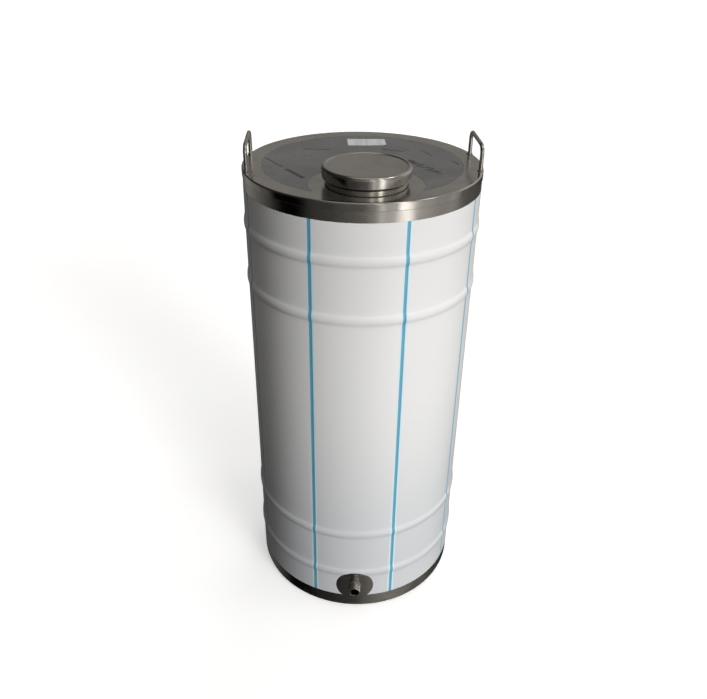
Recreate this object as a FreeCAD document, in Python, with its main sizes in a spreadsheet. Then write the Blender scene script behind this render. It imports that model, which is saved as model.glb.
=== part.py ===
"""Bulk milk tank: upright stainless barrel with filler neck, lift-off cap, two bail handles and a drain stub.

Frame: millimetres, +Z up, origin at the centre of the foot ring on the floor. The drain stub points to -Y.
The pressed top, with its neck, label and handles, sits turned a few degrees about Z from the drain.
"""
import FreeCAD
import Part
import math
import os
import re
import Sketcher

DIMENSIONS = {
    # whole tank
    "tank_height": 1016,
    "shell_radius": 239,
    "gauge": 1,
    "head_turn": 3.5,
    # shell and its rolled beads
    "shell_bottom": 12,
    "bead_width": 24,
    "bead_rise": 3,
    "bead_pitch": 120,
    "first_bead_bottom": 115,
    "first_bead_top": 112,
    "seam_weld_angle": 1,
    "seam_weld_rise": 0.5,
    # protective film on the shell
    "film": 0.2,
    "film_angle": 350,
    "film_bottom": 40,
    "film_top_gap": 37,
    "film_drain_radius": 44,
    # foot ring and raised bottom
    "foot_gauge": 1.5,
    "foot_height": 34,
    "foot_width": 25,
    "foot_corner": 10,
    "bottom_flange": 20,
    "bottom_rise": 12,
    # pressed top
    "flange_depth": 15,
    "head_corner": 3,
    "top_film_radius": 202,
    "top_film_cut": 108,
    "label_width": 82,
    "label_depth": 50,
    "label_across": 17,
    "label_back": 148,
    "label_thick": 0.15,
    # filler neck
    "neck_offset": 133.5,
    "neck_radius": 76.2,
    "neck_gauge": 1.5,
    "neck_height": 31,
    "lip_radius": 3,
    "lip_across": 78.2,
    "lip_up": 30,
    # cap
    "cap_radius": 84,
    "cap_gauge": 1.2,
    "cap_top": 36.5,
    "cap_corner": 6.5,
    "skirt_bottom": 14,
    "rim_width": 7.5,
    "rim_slope": 1.5,
    "panel_recess": 1.6,
    "plug_radius": 73,
    "plug_bottom": 18,
    "gasket_inner": 77.4,
    "gasket_outer": 81.4,
    "gasket_edge": 0.3,
    "gasket_bottom": 33.2,
    # drain stub, G 3/4
    "drain_height": 72,
    "thread_radius": 13.22,
    "shank_radius": 12.06,
    "shank_reach": 4,
    "stub_bore": 10.5,
    "stub_reach": 21,
    "stub_inside": 3,
    "stub_chamfer": 1,
    # bail handles
    "bail_distance": 226.5,
    "bail_half_width": 58.5,
    "bail_height": 48,
    "bail_bend": 16,
    "rod_radius": 4,
    # welds
    "edge_weld": 0.9,
    "neck_weld": 1.5,
    "rod_weld": 2.5,
    "fillet_weld": 3,
}

FULL_TURN = 360
FACING_DRAIN = -90
FACING_BACK = 90

doc = FreeCAD.newDocument("BulkMilkTank")
sheet = doc.addObject("Spreadsheet::Sheet", "Dims")
for row, (alias, number) in enumerate(DIMENSIONS.items(), start=1):
    sheet.set(f"A{row}", alias)
    sheet.set(f"B{row}", str(number))
    sheet.setAlias(f"B{row}", alias)
doc.recompute()

sub_parts = []


def dims(text):
    """The expression with every dimension's name pointed at the sheet."""
    return re.sub(r"[a-z_]+", lambda m: f"Dims.{m.group()}" if m.group() in DIMENSIONS else m.group(), str(text))


def value(text):
    """The number that an expression of the sheet's names gives."""
    return float(sheet.evalExpression(dims(text)))


def new_body(label):
    """An empty body, listed as one of the tank's sub-parts."""
    body = doc.addObject("PartDesign::Body", label)
    body.Label = label
    sub_parts.append(body)
    return body


def new_sketch(body, role):
    """A sketch on one of the body's own origin planes."""
    sketch = body.newObject("Sketcher::SketchObject", f"{body.Name}_sketch")
    plane = next(feature for feature in body.Origin.OriginFeatures if feature.Role == role)
    sketch.AttachmentSupport = [(plane, "")]
    sketch.MapMode = "FlatFace"
    return sketch


def bind(sketch, kind, *where, size):
    """A dimension of the sketch, driven by an expression."""
    index = sketch.addConstraint(Sketcher.Constraint(kind, *where, value(size)))
    sketch.setExpression(f"Constraints[{index}]", dims(size))


def place(sketch, edge, point, across, up):
    """Puts a point of an edge at a place given by two expressions. A zero puts it on the axis."""
    if abs(value(across)) < 1e-9:
        sketch.addConstraint(Sketcher.Constraint("PointOnObject", edge, point, -2))
    else:
        bind(sketch, "DistanceX", -1, 1, edge, point, size=across)
    if abs(value(up)) < 1e-9:
        sketch.addConstraint(Sketcher.Constraint("PointOnObject", edge, point, -1))
    else:
        bind(sketch, "DistanceY", -1, 1, edge, point, size=up)


def polygon(sketch, corners):
    """A closed outline through corners given as (across, up) expressions."""
    points = [FreeCAD.Vector(value(across), value(up), 0) for across, up in corners]
    first = len(sketch.Geometry)
    count = len(points)
    for i, point in enumerate(points):
        sketch.addGeometry(Part.LineSegment(point, points[(i + 1) % count]), False)
    for i, (across, up) in enumerate(corners):
        sketch.addConstraint(Sketcher.Constraint("Coincident", first + i, 2, first + (i + 1) % count, 1))
        place(sketch, first + i, 1, across, up)


def circle(sketch, across, up, radius):
    """A circle given by expressions."""
    centre = FreeCAD.Vector(value(across), value(up), 0)
    edge = sketch.addGeometry(Part.Circle(centre, FreeCAD.Vector(0, 0, 1), value(radius)), False)
    place(sketch, edge, 3, across, up)
    bind(sketch, "Radius", edge, size=radius)


def lens(sketch, centre_across, centre_up, radius, chord):
    """A circle's segment that bulges outwards from an upright chord at the distance `chord`."""
    reach = value(chord) - value(centre_across)
    half = math.acos(reach / value(radius))
    centre = FreeCAD.Vector(value(centre_across), value(centre_up), 0)
    round_line = Part.Circle(centre, FreeCAD.Vector(0, 0, 1), value(radius))
    arc = sketch.addGeometry(Part.ArcOfCircle(round_line, -half, half), False)
    low, high = sketch.Geometry[arc].StartPoint, sketch.Geometry[arc].EndPoint
    line = sketch.addGeometry(Part.LineSegment(high, low), False)
    sketch.addConstraint(Sketcher.Constraint("Coincident", arc, 2, line, 1))
    sketch.addConstraint(Sketcher.Constraint("Coincident", line, 2, arc, 1))
    sketch.addConstraint(Sketcher.Constraint("Vertical", line))
    place(sketch, arc, 3, centre_across, centre_up)
    bind(sketch, "Radius", arc, size=radius)
    bind(sketch, "DistanceX", -1, 1, line, 1, size=chord)


def turned(body, kind, sketch, angle=FULL_TURN):
    """Turns a sketch on the XZ plane about the body's Z axis, evenly to both sides of the plane."""
    feature = body.newObject(f"PartDesign::{kind}", f"{body.Name}_{kind.lower()}")
    feature.Profile = sketch
    feature.ReferenceAxis = (sketch, ["V_Axis"])
    feature.AllowMultiFace = True
    feature.Midplane = True
    feature.setExpression("Angle", dims(angle))
    doc.recompute()
    return feature


def through_cut(body, sketch):
    """Cuts a sketch's outline through the wall on the side that holds the body, in one direction only."""
    before = body.Shape.Volume
    pocket = body.newObject("PartDesign::Pocket", f"{body.Name}_pocket")
    pocket.Profile = sketch
    pocket.Type = "ThroughAll"
    pocket.Reversed = True
    doc.recompute()
    if not body.Shape.Volume < before:
        raise ValueError(f"{body.Label}: the cut removed nothing")


def trim_edge(body, kind, setting, size, place):
    """Rounds or chamfers the circular edge whose (radius, centre along Z, centre along Y) is given."""
    base = body.Tip
    wanted = [value(number) for number in place]
    names = []
    for i, edge in enumerate(base.Shape.Edges, start=1):
        if not isinstance(edge.Curve, Part.Circle):
            continue
        found = (edge.Curve.Radius, edge.Curve.Center.z, edge.Curve.Center.y)
        if max(abs(a - b) for a, b in zip(found, wanted)) < 1e-3:
            names.append(f"Edge{i}")
    if len(names) != 1:
        raise ValueError(f"{body.Label}: found {len(names)} circular edges there, not one")
    feature = body.newObject(f"PartDesign::{kind}", f"{body.Name}_{kind.lower()}")
    feature.Base = (base, names)
    feature.setExpression(setting, dims(size))
    doc.recompute()


def round_edge(body, radius_at, height, radius):
    """Rounds the circular edge about Z at a radius and a height."""
    trim_edge(body, "Fillet", "Radius", radius, (radius_at, height, "0"))


def stand(item, x="0", y="0", z="0", turn="0"):
    """Places a sub-part: where its origin goes, and its turn about Z in degrees."""
    spin = FreeCAD.Rotation(FreeCAD.Vector(0, 0, 1), value(turn))
    item.Placement = FreeCAD.Placement(FreeCAD.Vector(value(x), value(y), value(z)), spin)
    for axis, where in (("x", x), ("y", y), ("z", z)):
        if value(where):
            item.setExpression(f"Placement.Base.{axis}", dims(where))
    if turn in DIMENSIONS:
        item.setExpression("Placement.Rotation.Angle", f"{dims(turn)} * 1 deg")


NECK_X = "neck_offset * sin(head_turn)"
NECK_Y = "-neck_offset * cos(head_turn)"
BEAD_HEIGHTS = [
    "first_bead_bottom",
    "first_bead_bottom + bead_pitch",
    "tank_height - first_bead_top - bead_pitch",
    "tank_height - first_bead_top",
]
# the circle that a bead's outer face follows, from its width and rise
BEAD_ROUND = "(bead_width ^ 2 / 4 + bead_rise ^ 2) / (2 * bead_rise)"
BEAD_CENTRE = f"shell_radius + bead_rise - {BEAD_ROUND}"


def beaded_wall(label, inner, outer, bottom, top, angle, facing):
    """A thin upright skin, or a strip of one, that follows the shell's four rolled beads inside and out."""
    body = new_body(label)
    wall = new_sketch(body, "XZ_Plane")
    polygon(wall, [(inner, bottom), (outer, bottom), (outer, top), (inner, top)])
    turned(body, "Revolution", wall, angle)
    bulges = new_sketch(body, "XZ_Plane")
    hollows = new_sketch(body, "XZ_Plane")
    for height in BEAD_HEIGHTS:
        lens(bulges, BEAD_CENTRE, height, f"{BEAD_ROUND} + ({outer}) - shell_radius", f"(({inner}) + ({outer})) / 2")
        lens(hollows, BEAD_CENTRE, height, f"{BEAD_ROUND} + ({inner}) - shell_radius", f"({inner}) - gauge / 2")
    turned(body, "Revolution", bulges, angle)
    before = body.Shape.Volume
    turned(body, "Groove", hollows, angle)
    if not body.Shape.Volume < before:
        raise ValueError(f"{label}: the beads' inner face was not cut")
    stand(body, turn=facing)
    return body


def side_hole(body, radius):
    """A round hole at the drain's height through the wall on the body's own +X side."""
    sketch = new_sketch(body, "YZ_Plane")
    circle(sketch, "0", "drain_height", radius)
    through_cut(body, sketch)


def weld_ring(label, radius, height, outwards, upwards, x="0", y="0", z="0"):
    """A weld's three-cornered bead in the corner at (radius, height)."""
    body = new_body(label)
    sketch = new_sketch(body, "XZ_Plane")
    corner = (radius, height)
    polygon(sketch, [corner, (f"{radius} + {outwards}", height), (radius, f"{height} + {upwards}")])
    turned(body, "Revolution", sketch)
    stand(body, x, y, z)
    return body


def turned_ring(label, corners, x="0", y="0", z="0", turn="0"):
    """A body turned from one closed outline."""
    body = new_body(label)
    sketch = new_sketch(body, "XZ_Plane")
    polygon(sketch, corners)
    turned(body, "Revolution", sketch)
    stand(body, x, y, z, turn)
    return body


def make_shell():
    """The rolled and beaded sheet, and the weld that closes it at the back."""
    shell_top = "tank_height - head_corner"
    shell = beaded_wall(
        "tank_shell", "shell_radius - gauge", "shell_radius", "shell_bottom", shell_top, FULL_TURN, FACING_DRAIN
    )
    side_hole(shell, "shank_radius")
    beaded_wall(
        "shell_seam_weld", "shell_radius", "shell_radius + seam_weld_rise", "film_bottom",
        "tank_height - film_top_gap", "seam_weld_angle", FACING_BACK,
    )


def make_body_film():
    """The film on the shell: open along the seam weld, with a round cut-out for the drain."""
    film = beaded_wall(
        "body_film", "shell_radius", "shell_radius + film", "film_bottom",
        "tank_height - film_top_gap", "film_angle", FACING_DRAIN,
    )
    side_hole(film, "film_drain_radius")


def make_foot():
    """The foot ring, whose lower edge turns in, and its weld under the shell's lower edge."""
    outer = "shell_radius - gauge"
    wall = f"{outer} - foot_gauge"
    ring = turned_ring("base_ring", [
        (f"{outer} - foot_width", "0"),
        (outer, "0"),
        (outer, "foot_height"),
        (wall, "foot_height"),
        (wall, "foot_gauge"),
        (f"{outer} - foot_width", "foot_gauge"),
    ])
    round_edge(ring, outer, "0", "foot_corner")
    round_edge(ring, wall, "foot_gauge", "foot_corner - foot_gauge")
    weld_ring("base_weld", outer, "shell_bottom", "edge_weld", "-edge_weld")


def make_bottom():
    """The tank's raised bottom, a shallow cone that falls to its flanged rim, and its weld."""
    outer = "shell_radius - gauge"
    rim = "foot_height + bottom_flange"
    turned_ring("bottom_head", [
        ("0", f"{rim} + bottom_rise"),
        (outer, rim),
        (outer, "foot_height"),
        (f"{outer} - gauge", "foot_height"),
        (f"{outer} - gauge", f"{rim} - gauge"),
        ("0", f"{rim} + bottom_rise - gauge"),
    ])
    weld = new_body("bottom_weld")
    sketch = new_sketch(weld, "XZ_Plane")
    drop = "bottom_rise * fillet_weld / (shell_radius - gauge)"
    polygon(sketch, [(outer, rim), (outer, f"{rim} + fillet_weld"), (f"{outer} - fillet_weld", f"{rim} + {drop}")])
    turned(weld, "Revolution", sketch)


def make_top():
    """The pressed top with its flange and neck hole, the weld under the flange, the film and the label."""
    outer = "shell_radius + gauge"
    head = turned_ring("top_head", [
        ("0", "tank_height - gauge"),
        ("shell_radius", "tank_height - gauge"),
        ("shell_radius", "tank_height - flange_depth"),
        (outer, "tank_height - flange_depth"),
        (outer, "tank_height"),
        ("0", "tank_height"),
    ], turn="head_turn")
    round_edge(head, "shell_radius", "tank_height - gauge", "head_corner - gauge")
    round_edge(head, outer, "tank_height", "head_corner")
    hole = new_sketch(head, "XY_Plane")
    circle(hole, "0", "-neck_offset", "neck_radius - neck_gauge")
    through_cut(head, hole)
    weld_ring("head_weld", "shell_radius", "tank_height - flange_depth", "edge_weld", "-edge_weld")

    film = new_body("top_film")
    disc = new_sketch(film, "XY_Plane")
    circle(disc, "0", "0", "top_film_radius")
    padded(film, disc, "film")
    clearing = new_sketch(film, "XY_Plane")
    circle(clearing, "0", "-neck_offset", "top_film_cut")
    through_cut(film, clearing)
    stand(film, z="tank_height", turn="head_turn")

    label = new_body("label")
    outline = new_sketch(label, "XY_Plane")
    left, right = "label_across - label_width / 2", "label_across + label_width / 2"
    near, far = "label_back - label_depth / 2", "label_back + label_depth / 2"
    polygon(outline, [(left, near), (right, near), (right, far), (left, far)])
    padded(label, outline, "label_thick")
    stand(label, z="tank_height + film", turn="head_turn")


def padded(body, sketch, length):
    """Thickens a sketch along its plane's normal."""
    pad = body.newObject("PartDesign::Pad", f"{body.Name}_pad")
    pad.Profile = sketch
    pad.setExpression("Length", dims(length))
    doc.recompute()
    return pad


def make_neck():
    """The filler neck with its rolled lip, and the weld round its foot. Heights are from the top's face."""
    inner = "neck_radius - neck_gauge"
    neck = turned_ring("fill_neck", [
        (inner, "0"),
        ("neck_radius", "0"),
        ("neck_radius", "neck_height"),
        (inner, "neck_height"),
    ], NECK_X, NECK_Y, "tank_height")
    lip = new_sketch(neck, "XZ_Plane")
    circle(lip, "lip_across", "lip_up", "lip_radius")
    turned(neck, "Revolution", lip)
    weld_ring("neck_weld", "neck_radius", "0", "neck_weld", "neck_weld", NECK_X, NECK_Y, "tank_height")


def make_cap():
    """The lift-off cap: pressed cover with a raised rim and a skirt, centring ring and gasket."""
    panel = "cap_radius - rim_width - rim_slope"
    rim = "cap_radius - rim_width"
    skirt = "cap_radius - cap_gauge"
    panel_up = "cap_top - panel_recess"
    half = "cap_gauge / 2"
    cover = turned_ring("cap_cover", [
        ("0", panel_up),
        (panel, panel_up),
        (rim, "cap_top"),
        ("cap_radius", "cap_top"),
        ("cap_radius", "skirt_bottom"),
        (skirt, "skirt_bottom"),
        (skirt, "cap_top - cap_gauge"),
        (f"{rim} + {half}", "cap_top - cap_gauge"),
        (f"{panel} + {half}", f"{panel_up} - cap_gauge"),
        ("0", f"{panel_up} - cap_gauge"),
    ], NECK_X, NECK_Y, "tank_height")
    round_edge(cover, skirt, "cap_top - cap_gauge", "cap_corner - cap_gauge")
    round_edge(cover, "cap_radius", "cap_top", "cap_corner")
    plug_inner = "plug_radius - neck_gauge"
    plug_top = f"{panel_up} - cap_gauge"
    turned_ring("cap_plug", [
        (plug_inner, "plug_bottom"),
        ("plug_radius", "plug_bottom"),
        ("plug_radius", plug_top),
        (plug_inner, plug_top),
    ], NECK_X, NECK_Y, "tank_height")
    gasket_top = "cap_top - cap_gauge"
    turned_ring("cap_gasket", [
        ("gasket_inner", "gasket_bottom"),
        ("gasket_outer", "gasket_bottom"),
        ("gasket_outer", "gasket_bottom + gasket_edge"),
        ("cap_radius - cap_corner", gasket_top),
        ("gasket_inner", gasket_top),
    ], NECK_X, NECK_Y, "tank_height")


def make_drain():
    """The stub, its thread drawn at the major diameter, and the weld round its shank on the curved shell."""
    stub = new_body("drain_stub")
    shank = new_sketch(stub, "XZ_Plane")
    circle(shank, "0", "0", "shank_radius")
    circle(shank, "0", "0", "stub_bore")
    padded(stub, shank, "stub_reach + stub_inside")
    thread = new_sketch(stub, "XZ_Plane")
    circle(thread, "0", "0", "thread_radius")
    circle(thread, "0", "0", "stub_bore")
    thread.AttachmentOffset = FreeCAD.Placement(
        FreeCAD.Vector(0, 0, value("stub_inside + shank_reach")), FreeCAD.Rotation()
    )
    thread.setExpression("AttachmentOffset.Base.z", dims("stub_inside + shank_reach"))
    padded(stub, thread, "stub_reach - shank_reach")
    mouth = ("thread_radius", "0", "-stub_reach - stub_inside")
    trim_edge(stub, "Chamfer", "Size", "stub_chamfer", mouth)
    stand(stub, y="stub_inside - shell_radius", z="drain_height")

    pointing_out = FreeCAD.Rotation(FreeCAD.Vector(1, 0, 0), 90)
    cone = doc.addObject("Part::Cone", "drain_weld_cone")
    cone.setExpression("Radius1", dims("shank_radius + 2 * fillet_weld"))
    cone.setExpression("Radius2", dims("shank_radius"))
    cone.setExpression("Height", dims("2 * fillet_weld"))
    inside = FreeCAD.Vector(0, value("fillet_weld - shell_radius"), value("drain_height"))
    cone.Placement = FreeCAD.Placement(inside, pointing_out)
    pipe = doc.addObject("Part::Cylinder", "drain_weld_pipe")
    pipe.setExpression("Radius", dims("shank_radius"))
    pipe.setExpression("Height", dims("4 * fillet_weld"))
    behind = FreeCAD.Vector(0, value("2 * fillet_weld - shell_radius"), value("drain_height"))
    pipe.Placement = FreeCAD.Placement(behind, pointing_out)
    barrel = doc.addObject("Part::Cylinder", "drain_weld_barrel")
    barrel.setExpression("Radius", dims("shell_radius"))
    barrel.setExpression("Height", dims("2 * drain_height"))
    tools = doc.addObject("Part::Fuse", "drain_weld_tools")
    tools.Base, tools.Tool = pipe, barrel
    weld = doc.addObject("Part::Cut", "drain_weld")
    weld.Base, weld.Tool = cone, tools
    weld.Label = "drain_weld"
    sub_parts.append(weld)
    doc.recompute()


def make_bail(label, side):
    """A round rod bent to an upright bail, standing on the top beside the rim, and the welds at its feet."""
    body = new_body(label)
    route = new_sketch(body, "YZ_Plane")
    half, high, bend = "bail_half_width", "bail_height", "bail_bend"
    runs = [
        ((f"-{half}", "0"), (f"-{half}", f"{high} - {bend}")),
        ((f"-{half} + {bend}", high), (f"{half} - {bend}", high)),
        ((half, f"{high} - {bend}"), (half, "0")),
    ]
    for start, end in runs:
        ends = [FreeCAD.Vector(value(across), value(up), 0) for across, up in (start, end)]
        line = route.addGeometry(Part.LineSegment(*ends), False)
        place(route, line, 1, *start)
        place(route, line, 2, *end)
    for line, sign in ((0, -1), (1, 1)):
        centre = FreeCAD.Vector(sign * value(f"{half} - {bend}"), value(f"{high} - {bend}"), 0)
        turn = Part.Circle(centre, FreeCAD.Vector(0, 0, 1), value(bend))
        first = math.pi / 2 if sign < 0 else 0
        arc = route.addGeometry(Part.ArcOfCircle(turn, first, first + math.pi / 2), False)
        route.addConstraint(Sketcher.Constraint("Coincident", arc, 2, line, 2))
        route.addConstraint(Sketcher.Constraint("Coincident", arc, 1, line + 1, 1))
        bind(route, "Radius", arc, size=bend)
    section = new_sketch(body, "XY_Plane")
    circle(section, "0", f"-{half}", "rod_radius")
    doc.recompute()
    rod = body.newObject("PartDesign::AdditivePipe", f"{label}_rod")
    rod.Profile = section
    rod.Spine = route
    doc.recompute()
    across = f"{side} * bail_distance * cos(head_turn)"
    back = f"{side} * bail_distance * sin(head_turn)"
    stand(body, across, back, "tank_height", "head_turn")

    foot_welds = []
    for number, end in enumerate((-1, 1), start=1):
        cone = doc.addObject("Part::Cone", f"{label}_foot_{number}")
        cone.setExpression("Radius1", dims("rod_radius + rod_weld"))
        cone.setExpression("Radius2", dims("rod_radius"))
        cone.setExpression("Height", dims("rod_weld"))
        rod_end = doc.addObject("Part::Cylinder", f"{label}_foot_rod_{number}")
        rod_end.setExpression("Radius", dims("rod_radius"))
        rod_end.setExpression("Height", dims("2 * rod_weld"))
        for item in (cone, rod_end):
            item.setExpression("Placement.Base.y", dims(f"{end} * {half}"))
        weld = doc.addObject("Part::Cut", f"{label}_foot_weld_{number}")
        weld.Base, weld.Tool = cone, rod_end
        foot_welds.append(weld)
    group = doc.addObject("Part::Compound", f"{label}_welds")
    group.Links = foot_welds
    group.Label = f"{label}_welds"
    stand(group, across, back, "tank_height", "head_turn")
    sub_parts.append(group)
    doc.recompute()


def check_document():
    """Stops if any object failed or any sub-part has no valid shape."""
    for item in doc.Objects:
        if any(state in ("Invalid", "Error") for state in item.State):
            raise ValueError(f"{item.Label} is {item.State}")
    for item in sub_parts:
        if item.Shape.isNull() or not item.Shape.isValid() or not item.Shape.Solids:
            raise ValueError(f"{item.Label} has no valid solid")


def write_parts():
    """One STEP file for each sub-part, named after it."""
    os.makedirs("parts", exist_ok=True)
    for item in sub_parts:
        item.Shape.exportStep(os.path.join("parts", f"{item.Label}.step"))
        box = item.Shape.BoundBox
        print(
            f"{item.Label:20s} solids {len(item.Shape.Solids)} volume {item.Shape.Volume:10.0f} mm3 "
            f"x {box.XMin:7.1f} {box.XMax:7.1f} y {box.YMin:7.1f} {box.YMax:7.1f} z {box.ZMin:7.1f} {box.ZMax:7.1f}"
        )


make_shell()
make_body_film()
make_foot()
make_bottom()
make_top()
make_neck()
make_cap()
make_drain()
make_bail("handle_left", -1)
make_bail("handle_right", 1)
doc.recompute()
check_document()
write_parts()
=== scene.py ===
"""Looks of the bulk milk tank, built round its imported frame. Metres, +Z up, the drain stub points to -Y."""
import math

import bmesh
import bpy
import numpy as np
from mathutils import Matrix, Vector, noise


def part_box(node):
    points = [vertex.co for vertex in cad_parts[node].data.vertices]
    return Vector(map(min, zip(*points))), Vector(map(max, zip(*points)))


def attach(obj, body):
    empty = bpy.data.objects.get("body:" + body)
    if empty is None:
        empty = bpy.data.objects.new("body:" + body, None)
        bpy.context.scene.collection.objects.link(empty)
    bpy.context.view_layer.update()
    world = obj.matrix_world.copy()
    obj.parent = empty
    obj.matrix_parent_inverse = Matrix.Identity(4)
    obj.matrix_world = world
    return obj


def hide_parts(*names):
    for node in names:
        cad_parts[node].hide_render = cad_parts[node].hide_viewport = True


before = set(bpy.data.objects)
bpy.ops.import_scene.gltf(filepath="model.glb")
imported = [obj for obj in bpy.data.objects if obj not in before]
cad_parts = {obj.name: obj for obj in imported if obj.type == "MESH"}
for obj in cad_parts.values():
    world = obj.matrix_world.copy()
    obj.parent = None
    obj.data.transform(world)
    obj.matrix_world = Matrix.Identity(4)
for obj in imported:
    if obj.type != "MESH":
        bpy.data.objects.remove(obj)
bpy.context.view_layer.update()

MM = 0.001
TAU = 2 * math.pi
SHEET = 1 * MM
THREAD_DEPTH = 1.16 * MM


# ---------------------------------------------------------------- sizes read from the frame

def node_points(node):
    """A CAD node's points at rest, as rows."""
    return np.array([v.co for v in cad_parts[node].data.vertices])


def middle(node):
    """The middle of a CAD node's box, seen from above."""
    low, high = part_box(node)
    return Vector(((low.x + high.x) / 2, (low.y + high.y) / 2, 0))


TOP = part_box("top_head")[1].z
FLANGE_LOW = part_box("top_head")[0].z
HEAD_R = float(np.hypot(*node_points("top_head")[:, :2].T).max())
SHELL_R = HEAD_R - SHEET
RISE = float(np.hypot(*node_points("tank_shell")[:, :2].T).max()) - SHELL_R
SHELL_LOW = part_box("tank_shell")[0].z
FILM_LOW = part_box("body_film")[0].z
FILM_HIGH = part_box("body_film")[1].z
NECK = middle("fill_neck")
HEAD_TURN = math.atan2(NECK.x, -NECK.y)
NECK_R = float(np.hypot(*(node_points("neck_weld")[:, :2] - np.array(NECK.xy)).T).min())
DRAIN_Z = sum(c.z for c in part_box("drain_stub")) / 2
STUB_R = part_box("drain_stub")[1].x
STUB_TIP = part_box("drain_stub")[0].y
STUB_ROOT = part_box("drain_stub")[1].y
SHANK_R = STUB_R - THREAD_DEPTH

FILM_CUT_R = 44 * MM
FILM_HALF_TURN = math.radians(175)
BEAD_HALF = 12 * MM
BEAD_TOE = 7 * MM
TOE_BEND = 0.056
TOE_HIGH = 0.6 * MM
BEADS = [115 * MM, 235 * MM, TOP - 232 * MM, TOP - 112 * MM]


# ---------------------------------------------------------------- mesh helpers

def smooth(t):
    """An even step from 0 to 1."""
    t = np.clip(t, 0, 1)
    return t * t * (3 - 2 * t)


def hills(x, y, z, scale, octaves=3):
    """Soft noise, about -1 to 1."""
    return noise.fractal(Vector((x, y, z)) / scale, 1.0, 2.0, octaves)


def add_piece(name, mesh, material, body="tank", replaces=(), sharp=40):
    """Links a mesh as a piece of the object, smooth but for edges over `sharp` degrees."""
    piece = bpy.data.objects.new(name, mesh)
    bpy.context.scene.collection.objects.link(piece)
    mesh.materials.clear()
    mesh.materials.append(material)
    mesh.polygons.foreach_set("use_smooth", [True] * len(mesh.polygons))
    mesh.set_sharp_from_angle(angle=math.radians(sharp))
    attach(piece, body)
    if replaces:
        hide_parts(*replaces)
    return piece


def mesh_from(name, points, faces):
    """A mesh with its doubled points joined and its faces turned outwards."""
    mesh = bpy.data.meshes.new(name)
    mesh.from_pydata([tuple(p) for p in points], [], faces)
    work = bmesh.new()
    work.from_mesh(mesh)
    bmesh.ops.remove_doubles(work, verts=work.verts, dist=1e-7)
    bmesh.ops.dissolve_degenerate(work, edges=work.edges, dist=1e-7)
    bmesh.ops.recalc_face_normals(work, faces=work.faces)
    work.to_mesh(mesh)
    work.free()
    return mesh


def tube_faces(rings, count, closed_path):
    """Quads between rings of `count` points each, round every ring and along the path."""
    faces = []
    for i in range(rings if closed_path else rings - 1):
        a, b = i * count, ((i + 1) % rings) * count
        for j in range(count):
            k = (j + 1) % count
            faces.append((a + j, a + k, b + k, b + j))
    if not closed_path:
        faces.append(tuple(range(count)))
        faces.append(tuple(range((rings - 1) * count, rings * count)))
    return faces


def sheet_solid(name, front, back):
    """A closed thin sheet from two grids of points, front and back, of the same rows and columns."""
    rows, cols = front.shape[:2]
    points = np.concatenate([front.reshape(-1, 3), back.reshape(-1, 3)])
    under = rows * cols

    def at(i, j):
        return i * cols + j

    faces = []
    for i in range(rows - 1):
        for j in range(cols - 1):
            quad = (at(i, j), at(i, j + 1), at(i + 1, j + 1), at(i + 1, j))
            faces.append(quad)
            faces.append(tuple(under + k for k in reversed(quad)))
    rim = [at(0, j) for j in range(cols)]
    rim += [at(i, cols - 1) for i in range(1, rows)]
    rim += [at(rows - 1, j) for j in range(cols - 2, -1, -1)]
    rim += [at(i, 0) for i in range(rows - 2, 0, -1)]
    for a, b in zip(rim, rim[1:] + rim[:1]):
        faces.append((b, a, under + a, under + b))
    return mesh_from(name, points, faces)


# ---------------------------------------------------------------- materials

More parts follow.
